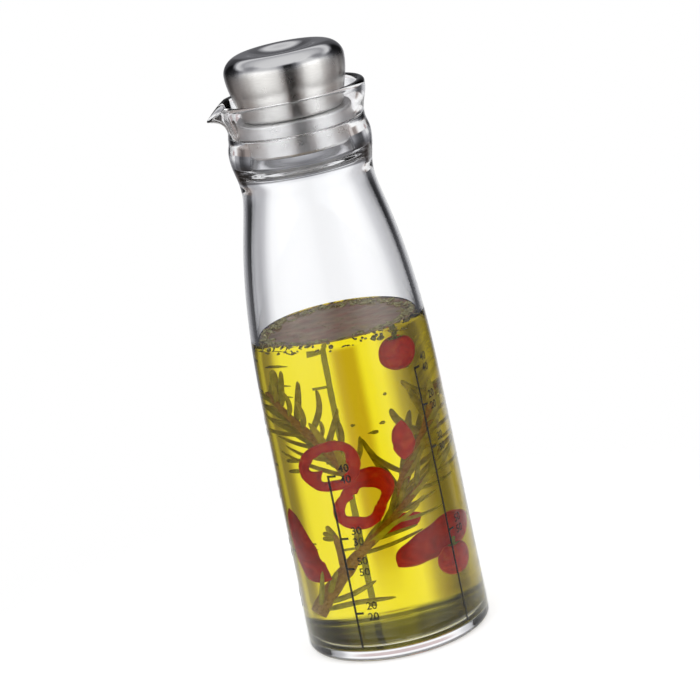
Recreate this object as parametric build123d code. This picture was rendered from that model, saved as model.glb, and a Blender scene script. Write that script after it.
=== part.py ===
from build123d import *
import os
from math import cos, pi, sin

os.makedirs("parts", exist_ok=True)

# Salad dressing shaker bottle, upright on its foot, in millimetres.
# The origin is the middle of the foot, +Z runs up the bottle's axis and the pouring lip points to -X.
# A press-moulded glass bottle holds oil with rosemary and chilli, and a steel-capped stopper closes it.

quarter_turn = 90
half_turn = 180

# Glass, outside: the neck is measured down from the rim, and the body up from the table
rim_height = 203.3
rim_radius = 26.7
waist_drop = 12.5
waist_radius = 24.5
bulge_drop = 18.9
bulge_radius = 25.55
neck_drop = 32.8
neck_radius = 23.75
shoulder_height = 92.5
shoulder_radius = 32.55
base_radius = 33.6
heel_radius = 3.0
foot_width = 5.0
foot_recess = 1.2

# Glass, inside
wall = 2.5
rim_wall = 3.1
base_thickness = 4.2
floor_fillet = 5.0
seat_drop = 13.0
seat_fillet = 1.0
seat_edge = 0.6
collar_bore = 21.3
throat_radius = 18.7
throat_length = 9.3
flare_length = 4.8
neck_wall = 3.0

# How long the curves run on, as shares of the height between two heights of the profile
shoulder_long_share = 0.69
shoulder_short_share = 0.12
wave_share = 0.42

# Pouring lip
spout_overhang = 3.9
spout_width = 23.0
spout_depth = 10.5
spout_drop = 5.2
spout_dip = 4.0
spout_station_shares = (0.0, 0.39, 0.74, 1.0)
spout_width_shares = (1.0, 0.73, 0.37, 0.07)
spout_top_shares = (0.0, 0.28, 0.70, 0.93)
spout_bottom_shares = (1.0, 0.73, 0.57, 0.52)
channel_station_shares = (-0.9, 0.15, 0.55, 0.92)
channel_width_shares = (0.76, 0.70, 0.43, 0.08)
channel_bottom_shares = (0.60, 0.57, 0.515, 0.485)
dip_side_share = 0.5
dip_middle_share = 0.4

# Stopper: steel cap
cap_height = 22.7
cap_radius = 21.5
cap_widest_drop = 6.3
cap_foot_radius = 18.5
cap_foot_curl = 1.4
cap_crest_radius = 14.3
cap_dimple = 2.3
cap_sheet = 0.8
ellipse_share = 0.5523
cap_taper_share = 0.35
dimple_flat_share = 0.55
dimple_lip_share = 0.30

# Stopper: seal and core
seal_flange_height = 5.4
seal_flange_radius = 20.9
seal_flange_round = 0.7
seal_sleeve_length = 7.3
seal_sleeve_radius = 18.4
seal_sleeve_chamfer = 0.8
seal_bore = 12.8
core_wall = 1.6
core_height = 13.0

# Running gaps
seat_clearance = 0.3
fit_clearance = 0.05
cap_clearance = 0.1
content_clearance = 0.3
overrun = 2.0

# Dressing and what floats in it
fill_height = 118.0
ring_slice = 3.5
ring_flesh = 3.9
ring_round = 0.8
upper_ring_width = 20.0
upper_ring_height = 18.4
lower_ring_width = 13.6
lower_ring_height = 23.6
lower_ring_lean_angle = 31
left_pod_radius = 4.9
right_pod_radius = 5.8
tip_radius = 3.3
back_slice_radius = 3.2
high_round_radius = 6.2
low_round_radius = 6.1
stalk_radius = 0.9
stalk_length = 3.4
stalk_dimple = 0.7
stem_radius = 2.8
twig_radius = 1.1
needle_width = 2.3
needle_thickness = 0.9
needle_length = 17.0
needle_lean_angle = 33
needle_spread_turn = 2.4
low_needle_count = 11
left_needle_count = 14
right_needle_count = 12
stem_side_count = 6

# Places inside the bottle: across and deep as shares of the bore at that height, up as a share of the fill
upper_ring_shares = (-0.37, -0.54, 0.595)
lower_ring_shares = (-0.09, -0.38, 0.463)
left_pod_shares = (
    (-0.88, -0.21, 0.455), (-0.84, -0.21, 0.395), (-0.77, -0.22, 0.310),
    (-0.68, -0.23, 0.245), (-0.52, -0.25, 0.210))
right_pod_shares = (
    (0.09, -0.16, 0.208), (0.24, -0.13, 0.235), (0.46, -0.09, 0.262),
    (0.68, -0.08, 0.290), (0.85, -0.06, 0.312))
chilli_tip_shares = (
    (0.39, -0.30, 0.682), (0.37, -0.30, 0.640), (0.38, -0.30, 0.600), (0.35, -0.30, 0.555))
back_slice_shares = (
    (0.02, 0.29, 0.300), (0.10, 0.29, 0.318), (0.20, 0.29, 0.328), (0.30, 0.29, 0.340))
high_round_shares = (0.53, -0.41, 0.901)
low_round_shares = (0.68, -0.35, 0.203)
left_pod_size_shares = (0.62, 1.0, 0.85)
right_pod_size_shares = (0.72, 1.0, 0.95)
chilli_tip_size_shares = (0.78, 1.0)
back_slice_size_shares = (0.9, 1.0)
pod_flat_share = 0.55
round_flat_share = 0.8
low_stem_shares = (
    (-0.71, -0.14, 0.092), (-0.52, -0.12, 0.162), (-0.35, -0.09, 0.221), (-0.18, -0.06, 0.276),
    (0.04, -0.03, 0.337), (0.23, 0.0, 0.395), (0.43, 0.03, 0.455), (0.62, 0.06, 0.504))
low_stem_size_shares = (1.0, 0.92, 0.80, 0.55, 0.48, 0.42, 0.34, 0.22)
left_stem_shares = (
    (-0.13, 0.22, 0.500), (-0.22, 0.23, 0.580), (-0.36, 0.23, 0.666),
    (-0.52, 0.23, 0.752), (-0.63, 0.23, 0.815))
left_stem_size_shares = (0.55, 0.5, 0.42, 0.34, 0.22)
right_stem_shares = (
    (0.16, 0.46, 0.400), (0.25, 0.46, 0.480), (0.37, 0.46, 0.560),
    (0.45, 0.46, 0.640), (0.50, 0.46, 0.720))
right_stem_size_shares = (0.5, 0.46, 0.4, 0.32, 0.22)
twig_shares = ((-0.35, -0.09, 0.221), (-0.37, -0.13, 0.314), (-0.40, -0.16, 0.352))
twig_size_shares = (1.0, 0.9, 0.7)
low_extra_needle_shares = (
    ((-0.58, -0.16, 0.128), (-0.12, -0.26, 0.185)),
    ((-0.64, -0.17, 0.105), (0.02, -0.27, 0.119)),
    ((-0.67, -0.18, 0.115), (-0.63, -0.36, 0.247)),
    ((-0.56, -0.17, 0.140), (-0.45, -0.25, 0.236)),
    ((-0.39, -0.16, 0.340), (-0.51, -0.18, 0.345)),
    ((-0.39, -0.16, 0.345), (-0.50, -0.18, 0.362)),
    ((-0.39, -0.16, 0.345), (-0.45, -0.18, 0.385)))
needle_size_shares = (0.45, 1.0, 0.2)
needle_middle_share = 0.42
needle_taper_share = 0.35
needle_depth_share = 0.16
low_bare_share = 0.42
bare_share = 0.08

rim_round = rim_wall / 2
waist_height = rim_height - waist_drop
bulge_height = rim_height - bulge_drop
neck_height = rim_height - neck_drop
seat_height = rim_height - seat_drop
foot_inner_radius = base_radius - heel_radius - foot_width
throat_low = seat_height - throat_length
bore = base_radius - wall
fill_depth = fill_height - base_thickness
flange_low = seat_height + seat_clearance
flange_high = flange_low + seal_flange_height
cap_low = flange_high + cap_clearance
cap_high = cap_low + cap_height
cap_widest = cap_high - cap_widest_drop
sleeve_low = flange_low - seal_sleeve_length


def wave(start, end, start_share=wave_share, end_share=wave_share):
    """A curve that is upright at both ends."""
    rise = end[1] - start[1]
    return Bezier(
        start,
        (start[0], start[1] + start_share * rise),
        (end[0], end[1] - end_share * rise),
        end,
    )


def shoulder_curve(low, high, taper):
    """From the body's slight taper into the neck."""
    rise = high[1] - low[1]
    reach = shoulder_long_share * rise
    return Bezier(
        low,
        (low[0] - taper * reach, low[1] + reach),
        (high[0], high[1] - shoulder_short_share * rise),
        high,
    )


def body_taper():
    return (base_radius - shoulder_radius) / (shoulder_height - heel_radius)


def hollow_outline(inset):
    """The inner wall from the throat down to the middle of the floor."""
    low = base_thickness + inset
    straight = low + floor_fillet
    foot = base_radius - wall - inset
    shoulder = (shoulder_radius - wall - inset, shoulder_height)
    neck = (neck_radius - neck_wall - inset, throat_low - flare_length)
    throat = (throat_radius - inset, throat_low)
    wave(neck, throat)
    shoulder_curve(shoulder, neck, body_taper())
    Line((foot, straight), shoulder)
    CenterArc((foot - floor_fillet, straight), floor_fillet, 0, -quarter_turn)
    Line((foot - floor_fillet, low), (0, low))
    return throat


def glass_profile():
    """Half section of the bottle without its lip."""
    heel = (base_radius, heel_radius)
    shoulder = (shoulder_radius, shoulder_height)
    neck = (neck_radius, neck_height)
    bulge = (bulge_radius, bulge_height)
    waist = (waist_radius, waist_height)
    rim = (rim_radius, rim_height - rim_round)
    rim_inside = (rim_radius - rim_wall, rim_height - rim_round)
    with BuildSketch(Plane.XZ) as section:
        with BuildLine():
            Bezier((0, foot_recess), (foot_inner_radius / 2, foot_recess), (foot_inner_radius, 0))
            Line((foot_inner_radius, 0), (base_radius - heel_radius, 0))
            CenterArc((base_radius - heel_radius, heel_radius), heel_radius, -quarter_turn, quarter_turn)
            Line(heel, shoulder)
            shoulder_curve(shoulder, neck, body_taper())
            wave(neck, bulge)
            wave(bulge, waist)
            wave(waist, rim)
            CenterArc((rim_radius - rim_round, rim_height - rim_round), rim_round, 0, half_turn)
            wave((collar_bore, seat_height + seat_fillet), rim_inside)
            CenterArc((collar_bore - seat_fillet, seat_height + seat_fillet), seat_fillet, 0, -quarter_turn)
            Line((collar_bore - seat_fillet, seat_height), (throat_radius + seat_edge, seat_height))
            CenterArc(
                (throat_radius + seat_edge, seat_height - seat_edge), seat_edge, quarter_turn, quarter_turn)
            Line((throat_radius, seat_height - seat_edge), (throat_radius, throat_low))
            hollow_outline(0)
            Line((0, base_thickness), (0, foot_recess))
        make_face()
    return section.sketch


def spout_plane(distance):
    """A plane across the lip, seen from the bottle's axis outwards."""
    return Plane(origin=(-distance, 0, rim_height), x_dir=(0, -1, 0), z_dir=(-1, 0, 0))


def beak_section(distance, half_width, top, bottom):
    with BuildSketch(spout_plane(distance)) as section:
        with BuildLine():
            EllipticalCenterArc((0, -top), half_width, bottom - top, half_turn, arc_size=half_turn)
            Line((half_width, -top), (-half_width, -top))
        make_face()
    return section.sketch


def channel_section(distance, half_width, bottom):
    with BuildSketch(spout_plane(distance)) as section:
        with BuildLine():
            EllipticalCenterArc((0, 0), half_width, bottom, half_turn, arc_size=half_turn)
            Line((half_width, 0), (half_width, overrun))
            Line((half_width, overrun), (-half_width, overrun))
            Line((-half_width, overrun), (-half_width, 0))
        make_face()
    return section.sketch


def dip_cutter():
    """What the rim loses where it dips towards the lip."""
    side = spout_width / 2
    with BuildSketch(spout_plane(0)) as section:
        with BuildLine():
            Bezier(
                (-side, 0),
                (-side + dip_side_share * side, 0),
                (-dip_middle_share * side, -spout_dip),
                (0, -spout_dip),
            )
            Bezier(
                (0, -spout_dip),
                (dip_middle_share * side, -spout_dip),
                (side - dip_side_share * side, 0),
                (side, 0),
            )
            Line((side, 0), (side, overrun))
            Line((side, overrun), (-side, overrun))
            Line((-side, overrun), (-side, 0))
        make_face()
    return extrude(section.sketch, rim_radius + spout_overhang + overrun)


def glass_bottle():
    body = revolve(glass_profile(), Axis.Z)
    root = waist_radius - wall
    span = rim_radius + spout_overhang - root
    beak = loft([
        beak_section(root + a * span, w * spout_width / 2, t * spout_drop, b * spout_depth)
        for a, w, t, b in zip(
            spout_station_shares, spout_width_shares, spout_top_shares, spout_bottom_shares)
    ])
    channel = loft([
        channel_section(root + a * span, w * spout_width / 2, b * spout_depth)
        for a, w, b in zip(channel_station_shares, channel_width_shares, channel_bottom_shares)
    ])
    inside = Pos(0, 0, seat_height) * Cylinder(
        collar_bore, rim_height - seat_height, align=(Align.CENTER, Align.CENTER, Align.MIN))
    return body + (beak - inside) - channel - dip_cutter()


def cap_line(inset):
    """The cap's sheet from its curled foot over the shoulder to the middle of the dimple."""
    foot = cap_foot_radius - inset
    curl_end = (cap_foot_radius - cap_foot_curl, cap_low + inset)
    curl_start = (foot, cap_low + cap_foot_curl)
    widest = (cap_radius - inset, cap_widest)
    crest = (cap_crest_radius, cap_high - inset)
    fall = widest[1] - curl_start[1]
    lean = (cap_radius - cap_foot_radius) / fall
    shoulder = widest[0] - crest[0]
    climb = crest[1] - widest[1]
    Bezier(curl_end, (foot, cap_low + inset), curl_start)
    Bezier(
        curl_start,
        (foot + lean * cap_taper_share * fall, curl_start[1] + cap_taper_share * fall),
        (widest[0], widest[1] - cap_taper_share * fall),
        widest,
    )
    Bezier(
        widest,
        (widest[0], widest[1] + ellipse_share * climb),
        (crest[0] + ellipse_share * shoulder, crest[1]),
        crest,
    )
    Bezier(
        crest,
        (crest[0] * (1 - dimple_lip_share), crest[1]),
        (crest[0] * dimple_flat_share, crest[1] - cap_dimple),
        (0, crest[1] - cap_dimple),
    )


def stopper_cap():
    with BuildSketch(Plane.XZ) as section:
        with BuildLine():
            cap_line(0)
            cap_line(cap_sheet)
            Line((0, cap_high - cap_dimple), (0, cap_high - cap_dimple - cap_sheet))
            Line(
                (cap_foot_radius - cap_foot_curl, cap_low),
                (cap_foot_radius - cap_foot_curl, cap_low + cap_sheet),
            )
        make_face()
    return revolve(section.sketch, Axis.Z)


def stopper_core():
    """Moulded plug inside the cap, with a spigot that carries the seal."""
    disc = cap_foot_radius - cap_foot_curl - cap_clearance
    spigot = seal_bore - fit_clearance
    well = sleeve_low + core_wall
    points = [
        (0, sleeve_low),
        (spigot, sleeve_low),
        (spigot, flange_high),
        (disc, flange_high),
        (disc, flange_high + core_height),
        (disc - core_wall, flange_high + core_height),
        (disc - core_wall, flange_high + core_wall),
        (spigot - core_wall, flange_high + core_wall),
        (spigot - core_wall, well),
        (0, well),
    ]
    with BuildSketch(Plane.XZ) as section:
        with BuildLine():
            Polyline(*points, close=True)
        make_face()
    return revolve(section.sketch, Axis.Z)


def stopper_seal():
    with BuildSketch(Plane.XZ) as section:
        with BuildLine():
            Polyline(
                (seal_bore, sleeve_low),
                (seal_sleeve_radius - seal_sleeve_chamfer, sleeve_low),
                (seal_sleeve_radius, sleeve_low + seal_sleeve_chamfer),
                (seal_sleeve_radius, flange_low),
                (seal_flange_radius - seal_flange_round, flange_low),
            )
            CenterArc(
                (seal_flange_radius - seal_flange_round, flange_low + seal_flange_round),
                seal_flange_round, -quarter_turn, quarter_turn)
            Line(
                (seal_flange_radius, flange_low + seal_flange_round),
                (seal_flange_radius, flange_high - seal_flange_round))
            CenterArc(
                (seal_flange_radius - seal_flange_round, flange_high - seal_flange_round),
                seal_flange_round, 0, quarter_turn)
            Polyline(
                (seal_flange_radius - seal_flange_round, flange_high),
                (seal_bore, flange_high),
                (seal_bore, sleeve_low),
            )
        make_face()
    return revolve(section.sketch, Axis.Z)


def dressing():
    """The oil, a hair clear of the glass so that the two stay separate solids."""
    with BuildSketch(Plane.XZ) as section:
        with BuildLine():
            throat = hollow_outline(content_clearance)
            Line(throat, (0, throat[1]))
            Line((0, throat[1]), (0, base_thickness + content_clearance))
        make_face()
    whole = revolve(section.sketch, Axis.Z)
    return split(whole, Plane.XY.offset(fill_height), keep=Keep.BOTTOM)


def inside(shares):
    """A point in the dressing: across and deep by the bore at its height, and up."""
    height = base_thickness + shares[2] * fill_depth
    reach = bore - body_taper() * (height - heel_radius)
    return Vector(shares[0] * reach, shares[1] * reach, height)


def chilli_ring(middle, width, height, lean):
    """A cut slice of chilli that faces the front, leaning sideways by an angle."""
    turn = lean * pi / half_turn
    facing = Plane(origin=middle, x_dir=(cos(turn), 0, -sin(turn)), z_dir=(0, -1, 0))
    with BuildPart(facing) as ring:
        with BuildSketch(facing):
            Ellipse(width / 2, height / 2)
            Ellipse(width / 2 - ring_flesh, height / 2 - ring_flesh, mode=Mode.SUBTRACT)
        extrude(amount=ring_slice / 2, both=True)
        fillet(ring.edges(), ring_round)
    return ring.part


def tangents(points):
    """The direction of a route at each of its points."""
    last = len(points) - 1
    return [points[min(i + 1, last)] - points[max(i - 1, 0)] for i in range(len(points))]


def across(point, direction):
    """A plane across a route, with its first axis in the plane seen from the front."""
    side = direction.cross(Vector(0, 1, 0))
    return Plane(origin=point, x_dir=side, z_dir=direction)


def pod(route, radius, size_shares, flat_share):
    """A chilli that tapers to both ends of its route."""
    points = [inside(place) for place in route]
    middle = list(zip(points, tangents(points)))[1:-1]
    sections = [
        across(point, direction) * Ellipse(radius * size, radius * size * flat_share)
        for (point, direction), size in zip(middle, size_shares)
    ]
    ends = [Vertex(*points[0]), Vertex(*points[-1])]
    return loft(ends[:1] + sections + ends[1:])


def round_chilli(middle_shares, radius):
    """A round chilli with a dimple where its stalk sits."""
    middle = inside(middle_shares)
    dimple = middle + Vector(0, 0, radius + stalk_radius - stalk_dimple)
    return Pos(*middle) * Sphere(radius) - Pos(*dimple) * Sphere(2 * stalk_radius)


def stalk(middle_shares, radius):
    """A short stalk that stands in a round chilli's dimple and fits it."""
    foot = inside(middle_shares) + Vector(0, 0, radius - stalk_radius - stalk_dimple)
    whole = Pos(*foot) * Cone(
        stalk_radius, stalk_radius / 2, stalk_length, align=(Align.CENTER, Align.CENTER, Align.MIN))
    return whole - round_chilli(middle_shares, radius)


def needle(start, end, width):
    """A rosemary needle: a thin four-sided leaf, widest before its middle."""
    run = end - start
    places = (0, needle_middle_share, 1)
    sections = [
        across(start + run * place, run) * Rectangle(width * size, needle_thickness * size)
        for place, size in zip(places, needle_size_shares)
    ]
    return loft(sections, ruled=True)


def stem(points, radius, size_shares):
    sections = [
        across(point, direction) * RegularPolygon(radius * size, stem_side_count)
        for point, direction, size in zip(points, tangents(points), size_shares)
    ]
    return loft(sections, ruled=True)


def along(points, share):
    """A point of the route and its direction there, by a share of its spans."""
    reach = share * (len(points) - 1)
    span = min(int(reach), len(points) - 2)
    step = points[span + 1] - points[span]
    return points[span] + step * (reach - span), step.normalized()


def leaves(points, count, first_share):
    """Needles to alternate sides of a stem, shorter towards its end."""
    lean = needle_lean_angle * pi / half_turn
    blades = []
    for number in range(count):
        share = first_share + (1 - first_share) * number / count
        root, ahead = along(points, share)
        side = (-1) ** number
        outward = ahead.cross(Vector(0, side, 0)).normalized()
        deep = Vector(0, needle_depth_share * sin(needle_spread_turn * number), 0)
        length = needle_length * (1 - needle_taper_share * share)
        way = ahead * cos(lean) + outward * sin(lean) + deep
        blades.append(needle(root, root + way * length, needle_width))
    return blades


def rosemary_low():
    """The thick sprig that stands on the floor, with its cut twig."""
    points = [inside(place) for place in low_stem_shares]
    twig = [inside(place) for place in twig_shares]
    extras = [
        needle(inside(start), inside(end), needle_width)
        for start, end in low_extra_needle_shares
    ]
    return (
        stem(points, stem_radius, low_stem_size_shares)
        + [stem(twig, twig_radius, twig_size_shares)]
        + extras
        + leaves(points, low_needle_count, low_bare_share)
    )


def rosemary(stem_shares, size_shares, count):
    points = [inside(place) for place in stem_shares]
    return stem(points, stem_radius, size_shares) + leaves(points, count, bare_share)


def contents():
    """Everything that floats in the oil, by name."""
    return {
        "rosemary_low": rosemary_low(),
        "rosemary_left": rosemary(left_stem_shares, left_stem_size_shares, left_needle_count),
        "rosemary_right": rosemary(right_stem_shares, right_stem_size_shares, right_needle_count),
        "chilli_ring_upper": chilli_ring(
            inside(upper_ring_shares), upper_ring_width, upper_ring_height, 0),
        "chilli_ring_lower": chilli_ring(
            inside(lower_ring_shares), lower_ring_width, lower_ring_height, lower_ring_lean_angle),
        "chilli_pod_left": pod(
            left_pod_shares, left_pod_radius, left_pod_size_shares, pod_flat_share),
        "chilli_pod_right": pod(
            right_pod_shares, right_pod_radius, right_pod_size_shares, round_flat_share),
        "chilli_tip": pod(
            chilli_tip_shares, tip_radius, chilli_tip_size_shares, round_flat_share),
        "chilli_slice_back": pod(
            back_slice_shares, back_slice_radius, back_slice_size_shares, pod_flat_share),
        "round_chilli_high": round_chilli(high_round_shares, high_round_radius),
        "round_chilli_low": round_chilli(low_round_shares, low_round_radius),
        "round_chilli_high_stalk": stalk(high_round_shares, high_round_radius),
        "round_chilli_low_stalk": stalk(low_round_shares, low_round_radius),
    }


floating = contents()
pieces = {
    "glass_bottle": glass_bottle(),
    "stopper_cap": stopper_cap(),
    "stopper_core": stopper_core(),
    "stopper_seal": stopper_seal(),
    "dressing": dressing() - list(floating.values()),
} | floating
for name, piece in pieces.items():
    piece.label = name
    export_step(piece, f"parts/{name}.step")
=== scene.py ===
import random
from math import ceil, copysign, cos, exp, hypot, pi, radians, sin, sqrt

import bmesh
import bpy
from mathutils import Matrix, Vector, noise


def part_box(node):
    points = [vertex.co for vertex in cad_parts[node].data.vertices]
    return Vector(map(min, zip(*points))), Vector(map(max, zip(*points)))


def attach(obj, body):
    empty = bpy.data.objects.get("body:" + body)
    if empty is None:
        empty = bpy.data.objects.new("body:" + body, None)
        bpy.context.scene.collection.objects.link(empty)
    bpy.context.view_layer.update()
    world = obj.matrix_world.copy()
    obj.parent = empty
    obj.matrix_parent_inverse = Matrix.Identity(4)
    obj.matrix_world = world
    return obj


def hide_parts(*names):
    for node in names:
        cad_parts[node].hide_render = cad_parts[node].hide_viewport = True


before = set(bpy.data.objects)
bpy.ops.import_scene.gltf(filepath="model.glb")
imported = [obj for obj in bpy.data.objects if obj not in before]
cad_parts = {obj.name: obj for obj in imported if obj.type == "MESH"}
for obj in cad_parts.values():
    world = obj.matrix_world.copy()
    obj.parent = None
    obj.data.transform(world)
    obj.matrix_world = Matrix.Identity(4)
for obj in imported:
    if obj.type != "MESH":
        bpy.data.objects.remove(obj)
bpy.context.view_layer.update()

# The looks of a salad dressing shaker bottle, in metres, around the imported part.
# The lip points to -X, the scales are printed round the outside, and azimuth 0 faces -Y.

mm = 0.001
glass_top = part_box("glass_bottle")[1]

# Glass, outside: points are given as radius and height
rim_height = glass_top.z
base_radius = glass_top.x
rim_radius = 26.7 * mm
waist = (24.5 * mm, rim_height - 12.5 * mm)
bulge = (25.55 * mm, rim_height - 18.9 * mm)
neck_height = rim_height - 32.8 * mm
neck_radius = 23.75 * mm
shoulder_height = 92.5 * mm
shoulder_radius = 32.55 * mm
heel_radius = 3 * mm
foot_width = 5 * mm
foot_recess = 3 * mm
foot_recess_soft = (1.2 * mm, 0.3 * mm)
body_taper = (base_radius - shoulder_radius) / (shoulder_height - heel_radius)
shoulder_fall = 1.15 * mm
shoulder_fall_rise = 25 * mm

# Glass, inside
wall = 2.5 * mm
rim_wall = 3.1 * mm
base_thickness = 4.2 * mm
floor_height = 5 * mm
floor_fillet = 5 * mm
seat_height = rim_height - 13 * mm
seat_fillet = 1 * mm
seat_edge = 0.6 * mm
collar_bore = 21.3 * mm
throat_radius = 18.7 * mm
throat_length = 9.3 * mm
flare_length = 4.8 * mm
neck_wall = 3 * mm
flare_radius = 21.3 * mm
shoulder_long_share = 0.69
shoulder_short_share = 0.12
wave_share = 0.42

# Pouring lip: half its width, and its section as radius and drop below the rim
lip_half_width = 11.5 * mm
lip_tip_softness = 0.1
lip_foot_share = 0.35
lip_foot_span = 0.12
lip_under = ((24.5, 12.5), (23.4, 7.9), (24.8, 6.5), (30.2, 5.5))
lip_tip = ((30.2, 5.5), (30.6, 5.42), (30.6, 4.86), (30.15, 4.78))
lip_channel = ((30.15, 4.78), (27.2, 4), (23.2, 3.8), (21.3, 12))

# Dressing
fill_height = 118 * mm
liquid_overlap = 0.15 * mm
meniscus_rise = 1.1 * mm
meniscus_reach = 1.3 * mm
surface_rings = 40
film_rings = 24
film_gap = 0.35 * mm
film_drop = 0.3 * mm
film_thickness = 0.5 * mm
contents_room = 0.45 * mm
bore = base_radius - wall
fill_depth = fill_height - base_thickness

# Contents of the bottle, each with its name and node; places are shares of the bore and of the fill's depth
ring_slice = 3.5 * mm
ring_flesh = 3.9 * mm
stalk_radius = 0.9 * mm
stalk_length = 3.2 * mm
stem_radius = 2.8 * mm
needle_width = 2.05 * mm
needle_thickness = 0.9 * mm
needle_length = 18.5 * mm

# Rings: place, width, height, lean, seed, where the flesh is thick and how far round; angles in degrees
chilli_rings = (
    ("chilli_slice_upper", "chilli_ring_upper", (-0.37, -0.54, 0.595), 20 * mm, 18.4 * mm, 0, 1, 212, 16),
    ("chilli_slice_lower", "chilli_ring_lower", (-0.09, -0.38, 0.463), 13.6 * mm, 23.6 * mm, 31, 2, 100, 50))

# Pods: radius, sizes along them, how flat, seed, places
long_pods = (
    ("long_chilli_left", "chilli_pod_left", 4.9 * mm, (0.62, 1, 0.85), 0.55, 3, (
        (-0.88, -0.21, 0.455), (-0.84, -0.21, 0.395), (-0.77, -0.22, 0.31),
        (-0.68, -0.23, 0.245), (-0.52, -0.25, 0.21))),
    ("long_chilli_right", "chilli_pod_right", 5.8 * mm, (0.72, 1, 0.95), 0.8, 4, (
        (0.09, -0.16, 0.208), (0.24, -0.13, 0.235), (0.46, -0.09, 0.262),
        (0.68, -0.08, 0.29), (0.85, -0.06, 0.312))))
small_pods = (
    ("chilli_point", "chilli_tip", 3.3 * mm, (0.78, 1), 0.8, 5, (
        (0.39, -0.3, 0.682), (0.37, -0.3, 0.64), (0.38, -0.3, 0.6), (0.35, -0.3, 0.555))),
    ("chilli_strip_back", "chilli_slice_back", 3.2 * mm, (0.9, 1), 0.55, 6, (
        (0.02, 0.29, 0.3), (0.1, 0.29, 0.318), (0.2, 0.29, 0.328), (0.3, 0.29, 0.34))))

# Round chillies: place, radius, seed
round_chillies = (
    ("small_chilli_high", "round_chilli_high", (0.53, -0.41, 0.901), 6.2 * mm, 7),
    ("small_chilli_low", "round_chilli_low", (0.68, -0.35, 0.203), 6.1 * mm, 8))

# Sprigs: pairs of leaves, bare share, seeds of stem and leaves, sizes, places, twigs, long leaves
sprigs = (
    ("rosemary_low_sprig", "rosemary_low", 12, 0.42, 3, 11, (1, 0.92, 0.8, 0.55, 0.48, 0.42, 0.34, 0.22), (
        (-0.71, -0.14, 0.092), (-0.52, -0.12, 0.162), (-0.35, -0.09, 0.221), (-0.18, -0.06, 0.276),
        (0.04, -0.03, 0.337), (0.23, 0, 0.395), (0.43, 0.03, 0.455), (0.62, 0.06, 0.504)), (
        (((-0.35, -0.09, 0.221), (-0.37, -0.13, 0.314), (-0.4, -0.16, 0.352)),
         1.1 * mm, (1, 0.9, 0.7), 5),), (
        ((-0.58, -0.16, 0.128), (-0.12, -0.26, 0.185)),
        ((-0.64, -0.17, 0.105), (0.02, -0.27, 0.119)),
        ((-0.67, -0.18, 0.115), (-0.63, -0.36, 0.247)),
        ((-0.56, -0.17, 0.14), (-0.45, -0.25, 0.236)),
        ((-0.39, -0.16, 0.34), (-0.51, -0.18, 0.345)),
        ((-0.39, -0.16, 0.345), (-0.5, -0.18, 0.362)),
        ((-0.39, -0.16, 0.345), (-0.45, -0.18, 0.385)))),
    ("rosemary_left_sprig", "rosemary_left", 13, 0.08, 31, 51, (0.55, 0.5, 0.42, 0.34, 0.22), (
        (-0.13, 0.22, 0.5), (-0.22, 0.23, 0.58), (-0.36, 0.23, 0.666),
        (-0.52, 0.23, 0.752), (-0.63, 0.23, 0.815))),
    ("rosemary_right_sprig", "rosemary_right", 11, 0.08, 32, 52, (0.5, 0.46, 0.4, 0.32, 0.22), (
        (0.16, 0.46, 0.4), (0.25, 0.46, 0.48), (0.37, 0.46, 0.56),
        (0.45, 0.46, 0.64), (0.5, 0.46, 0.72))))
drifting_herbs = (
    (-0.05, -0.3, 0.7), (0.22, -0.3, 0.69), (0.12, -0.3, 0.665), (0.3, -0.35, 0.78),
    (-0.2, 0.1, 0.64), (0.45, 0.2, 0.82))

# Forms of the contents: an unevenness is a share, then the size of its features
front = Vector((0, -1, 0))
seed_steps = (7.3, 3.1, 1.7)
ring_around = 96
ring_section = 20
ring_uneven = (0.1, 0.8)
ring_flesh_uneven = (0.45, 0.6)
ring_thick_share = 0.8
ring_corner_power = 0.6
ring_wrinkle = 0.25 * mm
ring_wrinkle_size = 0.7
ring_bow = 0.8 * mm
pod_steps = 10
pod_around = 28
pod_uneven = (0.16, 0.9)
pod_end_share = 0.06
pod_belly_share = 0.1
round_rows = 28
round_around = 40
round_dimple = 0.28
round_dimple_span = 0.42
round_lobes = 3
round_lobe_share = 0.035
round_uneven = (0.05, 0.7)
stalk_foot_share = 0.7
stalk_offset = (0.8 * mm, -0.6 * mm)
stalk_bend = 0.1 * mm
stalk_foot_size = 1.15
stalk_taper = 0.4
star_leaves = 5
star_turn = 0.4
star_rise = 0.1
star_reach = 0.52
star_arch = 0.5 * mm
star_half_width = 0.9 * mm
star_half_thickness = 0.25 * mm
star_taper = 0.75
stem_steps = 8
stem_around = 14
stem_uneven = (0.22, 0.8)
needle_steps = 6
needle_around = 10
needle_foot_share = 0.35
needle_swell = 3.2
needle_tip_power = 3.2
needle_least_half = 0.12 * mm
needle_least_thick = 0.08 * mm
needle_roll_share = 0.45
needle_under_share = 0.5
pair_turn = 0.4 * pi
pair_turn_play = 0.35
leaf_lean = (22, 44)
leaf_length_play = (0.72, 1.12)
leaf_width_play = (0.82, 1.12)
leaf_bend_play = (-0.02, 0.1)
leaf_taper = 0.35
leaf_ahead_share = 0.3
leaf_front_share = 0.6
long_leaf_bend = 0.05
long_leaf_facing = Vector((0.1, -1, 0.3)).normalized()
herb_seed = 41
herb_corners = (5, 8)
herb_length_play = (1, 2.2)
herb_corner_play = (0.7, 1.2)
herb_half_thickness = 0.12 * mm
herb_top_share = 0.85
herb_band = 0.16
herb_band_power = 1.6
herb_band_gap = 0.9 * mm
herb_float = (-0.2 * mm, 0.5 * mm)
herb_middle = (0.1, 0.8)
herb_middle_drop = 0.2 * mm
herb_hang_gap = (0.7 * mm, 2.6 * mm)
herb_hang_depth = 3.4 * mm
herb_hang_power = 1.8
drift_size = (0.5 * mm, 0.9 * mm)
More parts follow.
